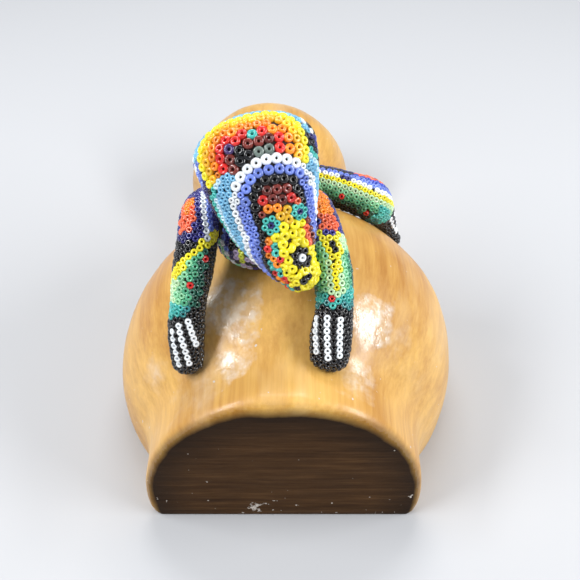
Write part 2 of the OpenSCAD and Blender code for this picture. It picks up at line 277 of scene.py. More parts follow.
def bead_mesh(turns, sides, hole):
    """A rocaille bead of diameter 1 with its hole along Z: (points, quads)."""
    mean, half_wall, half_height = 0.25 + hole / 4, 0.25 - hole / 4, 0.33
    points = []
    for i in range(turns):
        a = 2 * math.pi * i / turns
        for j in range(sides):
            b = 2 * math.pi * j / sides
            r = mean + half_wall * math.copysign(abs(math.cos(b)) ** 0.85, math.cos(b))
            z = half_height * math.copysign(abs(math.sin(b)) ** 0.85, math.sin(b))
            points.append((r * math.cos(a), r * math.sin(a), z))
    quads = [(i * sides + j, (i + 1) % turns * sides + j,
              (i + 1) % turns * sides + (j + 1) % sides, i * sides + (j + 1) % sides)
             for i in range(turns) for j in range(sides)]
    return np.array(points), np.array(quads)


class Bead:
    """One bead: its place on the surface, outward direction, pitch, and chart point."""

    def __init__(self, at, n, pitch, d, s, colour=None, kind="beads", held=False):
        self.at, self.n, self.pitch, self.d, self.s = at, n, pitch, d, s
        self.colour, self.kind, self.held, self.tilt = colour, kind, held, 0.07


class Cloth:
    """All beads placed so far, in a grid of cells for quick neighbour tests."""

    CELL = 3.2

    def __init__(self):
        self.cells = {}

    def key(self, p):
        return tuple(int(math.floor(c / self.CELL)) for c in p)

    def near(self, p):
        x, y, z = self.key(p)
        for i in (x - 1, x, x + 1):
            for j in (y - 1, y, y + 1):
                for k in (z - 1, z, z + 1):
                    yield from self.cells.get((i, j, k), ())

    def fits(self, p, pitch, share):
        for b in self.near(p):
            gap = share * (pitch + b.pitch) / 2
            if (p[0] - b.at[0]) ** 2 + (p[1] - b.at[1]) ** 2 + (p[2] - b.at[2]) ** 2 < gap * gap:
                return False
        return True

    def add(self, bead):
        self.cells.setdefault(self.key(bead.at), []).append(bead)

    def drop(self, bead):
        self.cells[self.key(bead.at)].remove(bead)


cloth = Cloth()


# How near beads may be set, as a share of their mean pitch.
SNUG, SINGLE_SNUG = 0.93, 0.85
ROW_STEPS = 40      # trial points between two points of a row's curve


def place(form, others, p, pitch, share=SNUG, **facts):
    """Puts one bead on a form at the surface point nearest p, if there is room. The pitch is a
    number or a function of the chart point."""
    at, n, d, s = form.nearest(p)
    size = pitch(d, s) if callable(pitch) else pitch
    if not cloth.fits(at, size, share) or not allowed(others, at, size):
        return None
    bead = Bead(at, n, size, d, s, **facts)
    cloth.add(bead)
    return bead


def row(form, others, curve, pitch, **facts):
    """Strings beads along a curve of chart points, as close as they fit."""
    walk = []
    for (d0, s0), (d1, s1) in zip(curve, curve[1:]):
        for k in range(ROW_STEPS):
            walk.append((d0 + (d1 - d0) * k / ROW_STEPS, s0 + (s1 - s0) * k / ROW_STEPS))
    walk.append(curve[-1])
    placed, last = [], None
    for d, s in walk:
        p = form.at(d, s)
        if last is not None and np.linalg.norm(p - last) < pitch:
            continue
        bead = place(form, others, p, pitch, **facts)
        if bead:
            placed.append(bead)
            last = bead.at
    return placed


def allowed(others, at, size):
    """Whether a bead there clears the gourd and the other forms."""
    if gourd_clearance(at) < 0.35 * size:
        return False
    return all(other.depth(at) <= -0.25 * size for other in others)


RELAX_ROUNDS = 40
PAIR_ROUNDS = 6      # rounds between two searches for pairs that may touch
PAIR_REACH = 1.35    # reach of that search, in touching distances
TOUCH = 1.05         # distance kept between two beads, in mean pitches
PUSH = 0.4           # share of an overlap that one round takes out
STILL = 0.015        # a push in mm that is too small to matter


def relax(form, others, group):
    """Pushes beads that overlap apart along the form, as far as their neighbours let them."""
    around = {}
    mine = {id(b) for b in group}
    for b in group:
        for o in cloth.near(b.at):
            if id(o) not in mine:
                around[id(o)] = o
    every = group + list(around.values())
    at = np.array([b.at for b in every])
    pitch = np.array([b.pitch for b in every])
    loose = np.array([b.kind == "beads" and not b.held for b in group])
    for turn in range(RELAX_ROUNDS):
        if turn % PAIR_ROUNDS == 0:
            gap = TOUCH * (pitch[:len(group), None] + pitch[None, :]) / 2
            away = at[:len(group), None, :] - at[None, :, :]
            close = (away ** 2).sum(axis=2) < (gap * PAIR_REACH) ** 2
            close[np.arange(len(group)), np.arange(len(group))] = False
            first, second = np.nonzero(close)
            gap = gap[first, second]
        away = at[first] - at[second]
        dist = np.linalg.norm(away, axis=1) + 1e-9
        over = np.clip(gap - dist, 0, None) * PUSH / dist
        push = np.zeros((len(group), 3))
        np.add.at(push, first, away * over[:, None])
        push *= loose[:, None]
        for i in np.nonzero(np.abs(push).sum(axis=1) > STILL)[0]:
            at[i] = np.array(form.tree.find_nearest(Vector(at[i] + push[i]))[0])
    kept = []
    for i, b in enumerate(group):
        cloth.drop(b)
        if b.kind == "beads":
            b.at, b.n, b.d, b.s = form.nearest(at[i])
            if not allowed(others, b.at, b.pitch):
                continue
        cloth.add(b)
        kept.append(b)
    return kept


def patch(form, others, pitch, roomy):
    """Puts beads in the middle of bare spots that are at least roomy pitches from every bead."""
    spots = []
    for i, k in itertools.product(range(len(form.points) - 1), range(SECTORS)):
        p = (form.points[i, k] + form.points[i + 1, k + 1]) / 2
        size = pitch((form.d[i, k] + form.d[i + 1, k]) / 2, (form.s[i, k] + form.s[i, k + 1]) / 2)
        room = min((np.linalg.norm(b.at - p) * 2 / (b.pitch + size) for b in cloth.near(p)), default=2.0)
        if room > roomy:
            spots.append((room, i, k, p))
    spots.sort(key=lambda spot: -spot[0])
    placed = [place(form, others, p, pitch, roomy) for _, _, _, p in spots]
    return [b for b in placed if b]


ROOMY = (0.78, 0.72, 0.68, 0.66, 0.66)    # room that a bare spot has to have, round by round


def cover(form, others, seeds, pitch):
    """Covers the form with beads and evens them out, until no gap takes another bead."""
    group = relax(form, others, seeds + fill(form, others, seeds, pitch))
    for roomy in ROOMY:
        group += patch(form, others, pitch, roomy)
        group = relax(form, others, group)
    return group


def fill(form, others, seeds, pitch):
    """Covers the form with beads that grow outwards from the seeds, each against two others."""
    front, placed = deque(seeds), []
    while front:
        b = front.popleft()
        others_near = [o for o in cloth.near(b.at) if o is not b
                       and np.linalg.norm(o.at - b.at) < 0.75 * (o.pitch + b.pitch)]
        size = pitch(b.d, b.s)
        ring = (b.pitch + size) / 2
        spots = []
        for o in others_near:
            gap = o.at - b.at
            dist = np.linalg.norm(gap)
            far = (o.pitch + size) / 2
            x = (dist * dist + ring * ring - far * far) / (2 * dist)
            if x >= ring:
                continue
            y = math.sqrt(ring * ring - x * x)
            u = gap / dist
            side = unit(np.cross(b.n, u))
            spots += [b.at + u * x + side * y, b.at + u * x - side * y]
        if len(others_near) < 2:
            u = unit(np.cross(b.n, (0.3, 0.5, 0.8)))
            side = np.cross(b.n, u)
            spots += [b.at + ring * (u * math.cos(a) + side * math.sin(a))
                      for a in (0, 1.05, 2.09, 3.14, 4.19, 5.24)]
        for spot in spots:
            bead = place(form, others, spot, pitch)
            if bead:
                placed.append(bead)
                front.append(bead)
    return placed


# ---------- the beads' design

FACE_MID = 3.0      # the face's middle line, in s
FACE_TOP = 17.0     # d of the centre that the arcs over the face bend round
MUZZLE = 23         # d where the muzzle begins
CROWN = (-4.0, 2.2, 1.0)   # the crown's middle stretch: from s, to s, at d


def side_bend(d):
    """How far the rows on the face's left side run down round the muzzle."""
    return float(np.interp(d, (23, 25, 27, 30, 34), (0, 0.8, 1.9, 3.3, 4.2)))


def face_radius(d, s):
    """Distance from the face's middle line: the arcs round the face are its level curves."""
    if s < -3:
        s += side_bend(d)
    return math.hypot(max(0.0, FACE_TOP - d), s - FACE_MID)


def crown_radius(d, s):
    s0, s1, d0 = CROWN
    return math.hypot(max(s0 - s, 0.0, s - s1), d - d0)


def banded(x, bands):
    """The colour of the first band whose upper limit is over x."""
    for limit, colour in bands:
        if x < limit:
            return colour
    return bands[-1][1]


CROWN_BANDS = [(1.8, "black"), (4.5, "brown"), (7.2, "red"), (9.8, "orange"), (12.2, "amber"),
               (14.6, "lemon"), (17.6, "sky"), (18.8, "white"), (20.4, "black"),
               (23.0, "turquoise"), (26.0, "navy"),
               (29.0, "periwinkle"), (31.0, "white"), (60.0, "royal")]
FACE_BANDS = [(6.7, "brown"), (9.3, "black"), (11.9, "periwinkle"), (14.6, "white")]
SIDE_BANDS = [(18.2, "sky"), (19.8, "pale"), (21.4, "turquoise"), (23.0, "black"), (25.5, "navy"),
              (28.5, "periwinkle"), (30.5, "white"), (33.5, "royal"), (36.5, "mint"), (60, "sky")]


def head_colour(d, s):
    crown, face = crown_radius(d, s), face_radius(d, s)
    if face > 14.2 and (d < 5 and crown < 14.6 or d < -1):
        return banded(crown, CROWN_BANDS)
    if face > 14.6:
        return banded(face, SIDE_BANDS)
    muzzle_edge = -1.2 - 0.35 * max(0.0, d - 28)
    if d < 16.2:
        if face > 5.6:
            return banded(face, FACE_BANDS)
        return "brown" if d < 13.5 or abs(s - FACE_MID) < 1.6 else "red"
    if s < FACE_MID and s < muzzle_edge:
        out = muzzle_edge - s
        if d > 21 + out * 1.2 and out < 5.4:
            if out > 4.2:
                return "red"
            return banded((d + out * 1.3) % 5.8, [(2.4, "turquoise"), (4.1, "red"), (5.8, "orange")])
        return banded(face, [(5.2, "red"), (6.4, "brown"), (8.7, "black"), (11.9, "periwinkle"),
                             (14.4, "white")])
    if s > FACE_MID + 4.5 and d < 32:
        return banded(s - FACE_MID, [(5.2, "ochre" if d < 23 else "lemon"), (6.2, "coral"), (7.6, "brown"),
                                     (9.2, "black"), (11.4, "periwinkle"), (14.6, "white")])
    return banded(d, [(20.6 if s < 1 else 18.6, "orange"), (22.5, "ochre"), (99, "lemon")])


def head_pitch(d, s):
    face, crown = face_radius(d, s), crown_radius(d, s)
    if d < 5 and crown < 14:
        return BIG if crown < 8.5 else MID
    if d < FACE_TOP and face < 14.6 and -7 < s < 11:
        return BIG - 0.1
    if d >= FACE_TOP and abs(s - FACE_MID) < 4.6:
        return MID
    if d >= FACE_TOP and s > FACE_MID - 8:
        return SMALL
    return FINE


def white_line(d):
    """Where the white row runs from the left shoulder towards the chest, as s at d."""
    return float(np.interp(d, (17, 20, 24, 27.5, 31), (0.2, 1.0, 2.4, 3.4, 4.4)))


def left_arm_colour(d, s):
    line = d + 0.85 * s - 34.5
    if d > 53.6:
        return "black"
    if line < -1.4:
        if -7 < s < -0.9 and 19 < d < 28.2:
            return "orange" if s > -4.6 and d < 24.5 and s < -2.4 else "coral"
        if s < white_line(d) - 1.1 and d >= 28.2:
            return "navy" if d < 31.4 else "black"
        across = s - white_line(d)
        return banded(across, [(-1.1, "navy"), (1.0, "white"), (3.4, "periwinkle"), (6.6, "navy"),
                               (99, "black")])
    if line < 1.6 or (s < -0.6 and line < 3.2):
        return "lemon"
    if d > 49.5:
        return banded(s, [(-1.4, "turquoise"), (1.0, "teal"), (99, "black")])
    return banded(s + 0.12 * (d - 44), [(-3.4, "palemint"), (-0.8, "mint"), (2.0, "green"), (4.8, "pine"),
                                        (99, "black")])


def right_arm_colour(d, s):
    if d > 51.0:
        return "black"
    if d < 28.6 + 0.2 * s:
        if -1.0 < s < 5.5:
            return "coral" if d > 24.5 else "orange"
        return "navy" if s > -3 else banded(-s, [(5, "white"), (8, "periwinkle"), (99, "navy")])
    if d < 30.6 - 0.1 * s and s < 2.6:
        return "navy"
    first = 31.8 + 0.9 * s
    if s < 0.9 and abs(d - first) < 1.3:
        return "lemon"
    if -1.0 < s < 1.1 and 33 < d < 45.2:
        return "lemon"
    if 30 < d < 41 and abs(s - (4.6 - 0.25 * (d - 28))) < 1.2:
        return "lemon"
    if s > 0.8 and d < 35:
        return "black" if s < 2.4 else banded(s, [(7.0, "palemint"), (99, "mint")])
    if s < 0.9 and d < first:
        return "navy"
    if d > 48.8:
        return "teal" if abs(s) > 1.5 else "turquoise"
    if abs(s) > 8:
        return "pine"
    if d > 45 and abs(s) > 2.5:
        return "turquoise"
    return banded(abs(s - 0.6), [(2.5, "palemint"), (4.7, "mint"), (6.6, "green"), (99, "pine")])


def right_leg_colour(d, s):
    row = float(np.interp(d, (11, 17, 23, 28, 31, 33.5, 38), (-7.7, -7.8, -8.7, -10.0, -8.8, -7.2, -5)))
    if d > 37.5:
        return "black"
    if s < row - 1.0:
        if d > 30.5 and s < row - 3.4:
            return "turquoise" if s > row - 9 else "teal"
        return banded(row - s, [(3.1, "palemint"), (5.2, "mint"), (7.3, "green"), (9.6, "pine"),
                                (99, "black")])
    if s < row + 1.1:
        return "lemon"
    above = s - row
    if d < 22:
        return banded(above, [(2.6, "navy" if d > 17 else "white"), (4.6, "periwinkle"), (6.4, "black"),
                              (99, "navy")])
    return banded(above, [(2.7, "white"), (5.0, "periwinkle"), (6.6, "royal"), (10.5, "coral"), (12, "navy"),
                          (15, "lemon"), (99, "mint")])


def left_leg_colour(d, s):
    if d > 47:
        return "black"
    return banded(abs(s), [(1.2, "red"), (2.6, "navy"), (4.6, "periwinkle"), (6.2, "white"), (8.4, "lemon"),
                           (10.6, "palemint"), (13, "mint"), (15.5, "green"), (99, "pine")])


def torso_colour(d, s):
    if d < 6:
        across = s + 0.25 * (d + 5)
        if across < 0:
            across = abs(across)
        return banded(across, [(2.2, "lilac"), (3.6, "black"), (6.0, "lime"), (7.2, "black"), (8.6, "lilac"),
                               (9.6, "black"), (11.6, "navy"), (13.4, "periwinkle"), (15.2, "white"),
                               (17.4, "mint"), (20, "navy"), (24, "royal"), (99, "turquoise")])
    chevron = (d + 0.7 * abs(s)) % 24
    return banded(chevron, [(2.2, "white"), (6.4, "periwinkle"), (8.6, "navy"), (10.8, "red"),
                            (12.8, "orange"), (14.8, "lemon"), (17, "mint"), (19.5, "turquoise"),
                            (21.8, "royal"), (24, "black")])


def neck_colour(d, s):
    return banded((s + 0.6 * d + 40) % 14, [(2, "white"), (5, "periwinkle"), (7, "black"), (9, "lilac"),
                                            (11, "lime"), (12.4, "black"), (14, "sky")])


COLOURS = {"torso": torso_colour, "head": head_colour, "left_arm": left_arm_colour,
           "right_arm": right_arm_colour, "left_leg": left_leg_colour, "right_leg": right_leg_colour,
           "neck": neck_colour}


def arc(radius, s0, s1):
    """Chart points of the arc over the face at that face_radius, from s0 to s1."""
    return [(FACE_TOP - math.sqrt(max(0.0, radius ** 2 - (s - FACE_MID) ** 2)), s)
            for s in np.linspace(s0, s1, 13)]


def crown_arc(radius, start, stop):
    """Chart points of a level curve of crown_radius, by angle in degrees, 0 to the right, 90 up."""
    s0, s1, d0 = CROWN
    out = []
    for a in np.radians(np.linspace(start, stop, 25)):
        middle = s1 if math.cos(a) > 0 else s0
        out.append((d0 - radius * math.sin(a), middle + radius * math.cos(a)))
    return out


# Rows down the face's sides: distance from its middle line, first d, pitch, colour.
SIDE_ROWS = [(-13.0, 14, 2.15, "white"), (-10.95, 15, 1.95, "periwinkle"), (-9.1, 16, 1.85, "periwinkle"),
             (-7.3, 18, 1.75, "black"), (-15.0, 12, 1.9, "sky"), (-16.8, 10, 1.9, "sky"),
             (13.2, 14, 2.1, "white"), (11.2, 15, 1.95, "periwinkle"), (9.3, 16, 1.85, "periwinkle")]


def side_line(offset, d0, d1):
    """Chart points of a row down one side of the face."""
    return [(d, FACE_MID + offset - (side_bend(d) if offset < 0 else 0)) for d in np.linspace(d0, d1, 12)]


beads = {name: [] for name in PATHS}
# Beads of a part stop where the surface of one of these begins.
STOPS = {"head": ["neck"], "left_arm": ["head", "torso"], "right_arm": ["head", "torso"],
         "left_leg": ["torso"], "right_leg": ["torso"], "neck": ["head", "left_arm", "right_arm", "torso"],
         "torso": ["head", "left_arm", "right_arm", "left_leg", "right_leg"]}


def others_of(name):
    return [forms[n] for n in STOPS[name]]


def string(name, curve, pitch, **facts):
    """Lays a row of beads on a part."""
    beads[name] += row(forms[name], others_of(name), curve, pitch, **facts)


def single(name, d, s, pitch, **facts):
    """Lays one bead on a part."""
    form = forms[name]
    bead = place(form, others_of(name), form.at(d, s), pitch, SINGLE_SNUG, **facts)
    if bead:
        beads[name].append(bead)


def ring(centre, radius, pitch, turns, **facts):
    """Lays beads round a chart point of the head, at those angles in degrees."""
    d, s = centre
    for turn in turns:
        a = math.radians(turn)
        single("head", d + radius * math.sin(a), s + radius * math.cos(a), pitch, **facts)


def cover_rest(name, pitch):
    """Covers the rest of a part."""
    beads[name] = cover(forms[name], others_of(name), beads[name], pitch)


NOSE, EYES = (34.2, 3.4), {"left_eye": (21.8, -1.0), "right_eye": (20.9, 8.5)}
MOUTH = [(41.1, -3.9), (40.3, -0.6), (39.7, 1.4)]
CLAW_PITCH = 2.08
# Each claw's chart points, first and last, and its beads.
CLAWS = {
    "left_arm": [((57.5, -4.4), (67.5, -2.6), 6), ((55.5, -1.8), (67.0, 0.8), 7),
                 ((54.0, 1.2), (61.0, 3.7), 5)],
    "right_arm": [((54.9, -6.4), (64.6, -4.6), 6), ((54.7, -2.0), (66.3, -0.6), 7),
                  ((54.7, 2.3), (65.4, 3.0), 7)],
    "right_leg": [((40.6, -8.0), (50.5, -4.2), 5), ((41.4, -4.4), (53.5, -1.6), 6),
                  ((43.6, -0.6), (52.6, 1.0), 4)],
    "left_leg": [((49.5, -2.9), (57.0, -2.6), 4), ((49.0, 0.0), (58.5, 0.0), 5),
                 ((49.5, 2.9), (57.0, 2.6), 4)],
}
# Rows that a limb's other beads follow: curve, pitch, colour, and whether it stays straight.
ROWS = {
    "left_arm": [([(38.0, -4.2), (35.8, -1.5), (33.8, 0.8), (30.7, 4.4)], SMALL, "lemon", False),
                 ([(16, 0.0), (17, 0.2), (20, 1.0), (24, 2.4), (27.5, 3.4), (30, 4.1)], SMALL, "white", True)],
    "right_arm": [([(29.6, -2.4), (32.2, -1.2), (34.3, 0.0), (45.0, 0.3)], SMALL, "lemon", False)],
    "right_leg": [([(11, -7.7), (17, -7.8), (23, -8.7), (28, -10.0), (31, -8.8), (33.5, -7.2)],
                   SMALL - 0.1, "lemon", False)],
    "left_leg": [([(10, 0), (46, 0)], SMALL - 0.1, None, False)],
    "neck": [([(11, -28), (11, 28)], SMALL, None, False)],
    "torso": [([(-15, 0), (50, 0)], SMALL, None, False)],
}


def lay_head():
    single("head", *NOSE, MID, colour="white", kind="nose")
    ring(NOSE, 2.45, 2.1, [40 + 47 * k for k in range(7)], colour="black", kind="nose")
    for d, s in MOUTH:
        single("head", d, s, 2.4, colour="black", kind="mouth")
    for kind, eye in EYES.items():
        single("head", *eye, 1.9, colour="navy", kind=kind)
        ring(eye, 1.9, 1.9, range(0, 360, 60), colour="turquoise", kind=kind)
    # the white arc over the face, the rows down its sides, and the crown's outer rows
    string("head", arc(13.4, -7.6, 12.4), BIG, colour="white", held=True)
    for offset, start, pitch, colour in SIDE_ROWS:
        string("head", side_line(offset, start, 36), pitch, colour=colour, held=True)
    for radius, colour in ((11.1, "amber"), (13.5, "lemon")):
        string("head", crown_arc(radius, 203, -22), MID, colour=colour, held=True)
    cover_rest("head", head_pitch)


def lay(name, pitch):
    for start, stop, count in CLAWS.get(name, []):
        for k in range(count):
            t = k / (count - 1)
            d, s = (a + (b - a) * t for a, b in zip(start, stop))
            single(name, d, s, CLAW_PITCH, colour="white", kind="claws")
    for curve, row_pitch, colour, held in ROWS[name]:
        string(name, curve, row_pitch, colour=colour, held=held)
    cover_rest(name, lambda d, s: pitch)


# Lone beads of another colour: part, chart point, colour.
ACCENTS = [
    ("head", (-5.5, -0.1), "turquoise"), ("head", (-0.7, -7.6), "purple"), ("head", (0.1, 1.0), "gunmetal"),
    ("head", (0.3, 4.7), "gunmetal"), ("left_arm", (34.9, 4.2), "red"), ("left_arm", (42.9, 1.1), "red"),
    ("right_arm", (40.5, -6.3), "red"), ("right_arm", (48.4, -0.5), "red"),
    ("right_leg", (19.9, -14.3), "red"), ("right_leg", (29.1, -17.1), "red"),
]


# ---------- lay the beads

def tree_of(ob):
    place = ob.matrix_world
    return BVHTree.FromPolygons([place @ v.co for v in ob.data.vertices],
                                [tuple(p.vertices) for p in ob.data.polygons])


gourd_tree = tree_of(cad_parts["gourd_base"])
rng = random.Random(7)

lay_head()
for name, pitch in (("left_arm", SMALL), ("right_arm", SMALL), ("right_leg", SMALL - 0.05),
                    ("left_leg", SMALL - 0.05), ("neck", SMALL), ("torso", SMALL)):
    lay(name, pitch)

for name, placed in beads.items():
    for b in placed:
        if b.colour is None:
            b.colour = COLOURS[name](b.d, b.s)
        if name == "head" and b.d > MUZZLE and b.kind == "beads":
            b.tilt = 0.4      # the muzzle's beads lie every way, and close
            b.pitch *= 1.12
for name, (d, s), colour in ACCENTS:
    spot = forms[name].at(d, s)
    plain = [b for b in beads[name] if b.kind == "beads"]
    min(plain, key=lambda b: np.linalg.norm(b.at - spot)).colour = colour

BEAD_MESHES = {"small": bead_mesh(14, 8, 0.27), "big": bead_mesh(20, 12, 0.20)}
MOST_BEADS = 850     # in one piece
SUNK = 0.30          # of a bead's centre below the beads' tops, in pitches


def add_object(name, data):
    ob = bpy.data.objects.new(name, data)
    bpy.context.scene.collection.objects.link(ob)
    return ob


def mesh_object(name, points, quads, materials, index=None):
    me = bpy.data.meshes.new(name)
    me.vertices.add(len(points))
    me.vertices.foreach_set("co", np.asarray(points, np.float32).ravel())
    quads = np.asarray(quads, np.int32)
    me.loops.add(quads.size)
    me.loops.foreach_set("vertex_index", quads.ravel())
    me.polygons.add(len(quads))
    me.polygons.foreach_set("loop_start", np.arange(0, quads.size, quads.shape[1], dtype=np.int32))
    for m in materials:
        me.materials.append(m)
    if index is not None:
        me.polygons.foreach_set("material_index", np.asarray(index, np.int32))
    me.polygons.foreach_set("use_smooth", np.full(len(quads), True))
    me.update(calc_edges=True)
    me.validate()
    return add_object(name, me)


def string_piece(name, group, nodes):
    """One mesh of separate closed beads."""
    points, quads, index, used = [], [], [], {}
    base = 0
    for b in group:
        unit_points, unit_quads = BEAD_MESHES["big" if b.pitch > 2.4 else "small"]
        size = b.pitch * BEAD_SHARE * (1 + rng.uniform(-0.035, 0.035))
        tall = size * (1 + rng.uniform(-0.12, 0.08))
        n = unit(b.n + np.array([rng.gauss(0, b.tilt) for _ in range(3)]))
        u = unit(np.cross(n, (0.31, 0.52, 0.79)))
        v = np.cross(n, u)
        turn = rng.uniform(0, math.pi)
        u, v = u * math.cos(turn) + v * math.sin(turn), v * math.cos(turn) - u * math.sin(turn)
        centre = b.at - b.n * (SUNK * b.pitch + rng.uniform(-0.05, 0.05))
        flat = (unit_points[:, :1] * u + unit_points[:, 1:2] * v) * size
        p = flat + unit_points[:, 2:] * n * tall + centre
        points.append(p * MM)
        quads.append(unit_quads + base)
        base += len(p)
        key = glass_index[b.colour, rng.choice(range(TINTS))]
        index += [used.setdefault(key, len(used))] * len(unit_quads)
    ob = mesh_object(name, np.concatenate(points), np.concatenate(quads), [glasses[k] for k in used], index)
    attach(ob, "root")
    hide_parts(*nodes)


def pieces_of(name, nodes, kinds):
    """The pieces of a part's beads, and of its special beads, each standing for its CAD nodes."""
    plain = [b for b in beads[name] if b.kind == "beads"]
    plain.sort(key=lambda b: b.d)
    count = max(1, math.ceil(len(plain) / MOST_BEADS))
    share = math.ceil(len(plain) / count)
    for k in range(count):
        string_piece(f"{name}_glass_{k + 1}", plain[k * share:(k + 1) * share], nodes)
    for kind, (kind_slot, cad) in kinds.items():
        string_piece(f"{cad}_glass", [b for b in beads[name] if b.kind == kind], [cad])


pieces_of("head", ["head_beads"],
          {"left_eye": ("eye_beads", "left_eye_beads"), "right_eye": ("eye_beads", "right_eye_beads"),
           "nose": ("black_beads", "nose_beads"), "mouth": ("black_beads", "mouth_beads")})
for part in ("neck", "torso"):
    pieces_of(part, [f"{part}_beads"], {})
for limb, end in (("arm", "hand"), ("leg", "foot")):
    for side in ("left", "right"):
        pieces_of(f"{side}_{limb}", [f"{side}_{limb}_beads"],
                  {"claws": ("claw_beads", f"{side}_{end}_claws")})


# ---------- wax under the beads

def dull_material(name, dark, light, start, roughness, cloud, dents, strength, stretch=1.0):
    """A dull surface. One noise, given as scale and detail, clouds its colour, and one dents it."""
    mat, tree, shader = principled(name)
    link = tree.links.new
    where = node(tree, "ShaderNodeTexCoord")
    spread = node(tree, "ShaderNodeMapping")
    spread.inputs["Scale"].default_value = (1, stretch, 1)
    link(where.outputs["Object"], spread.inputs["Vector"])
    noises = [node(tree, "ShaderNodeTexNoise", Scale=scale, Detail=detail) for scale, detail in (cloud, dents)]
    for n in noises:
        link(spread.outputs["Vector"], n.inputs["Vector"])
    ramp = node(tree, "ShaderNodeValToRGB")
    for e, position, colour in zip(ramp.color_ramp.elements, (start, 0.7), (dark, light)):
        e.position = position
        e.color = (*colour, 1)
    bump = node(tree, "ShaderNodeBump", Strength=strength, Distance=0.0002)
    shader.inputs["Roughness"].default_value = roughness
    link(noises[0].outputs["Fac"], ramp.inputs["Fac"])
    link(ramp.outputs["Color"], shader.inputs["Base Color"])
    link(noises[1].outputs["Fac"], bump.inputs["Height"])
    link(bump.outputs["Normal"], shader.inputs["Normal"])
    return mat


def wax_material(name, dark, light, roughness):
    return dull_material(name, dark, light, 0.35, roughness, (260, 4), (700, 3), 0.4)


def wood_material(name, dark, light):
    """Unfinished wood, with grain along the gourd."""
    return dull_material(name, dark, light, 0.3, 0.7, (600, 5), (600, 5), 0.3, 0.08)


bead_wax = wax_material("bead_wax", (0.012, 0.007, 0.004), (0.036, 0.022, 0.012), 0.62)
drop_wax = wax_material("drop_wax", (0.16, 0.11, 0.085), (0.34, 0.26, 0.21), 0.5)
WAX_DEPTH = 0.95     # of the wax's surface below the beads' tops


def wax_piece(name, nodes):
    form = forms[name]
    points = form.points.reshape(-1, 3)
    out = np.array([form.nearest(p)[1] for p in points])
    ob = mesh_object(f"{name}_wax_layer", (points - out * WAX_DEPTH) * MM, form.quads, [bead_wax])
    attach(ob, "root")
    if nodes:
        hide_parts(*nodes)


for name in ("head", "torso", "left_arm", "right_arm", "left_leg", "right_leg"):
    wax_piece(name, [f"{name}_wax"])
wax_piece("neck", [])


# ---------- gourd base

# Where the varnish is thick and lumpy, with a whitish painted highlight of the lamps laid on it: centre from
# the large bulb's place, radius, strength.
VARNISH_AND_GLARE_POOLS = [((-17, -27, 62), 12, 1.0), ((-15.5, -42.5, 51.5), 7.5, 1.0), ((28.5, -27, 57), 11, 1.0),
         ((20, -45.5, 46.5), 9, 0.8), ((-41.5, -33.5, 40), 7, 0.5), ((37, -28, 50), 6, 0.5),
         ((-22.9, -45.4, 44.7), 14, 0.45)]
PAINTED_GLARE = (0.84, 0.78, 0.70)     # whitish colour of the painted highlight on thick varnish
# Where the stain has chipped off: centre, radius.
CHIPS = [((-7, -60, 3), 8), ((-9.5, -50, 44.5), 5)]


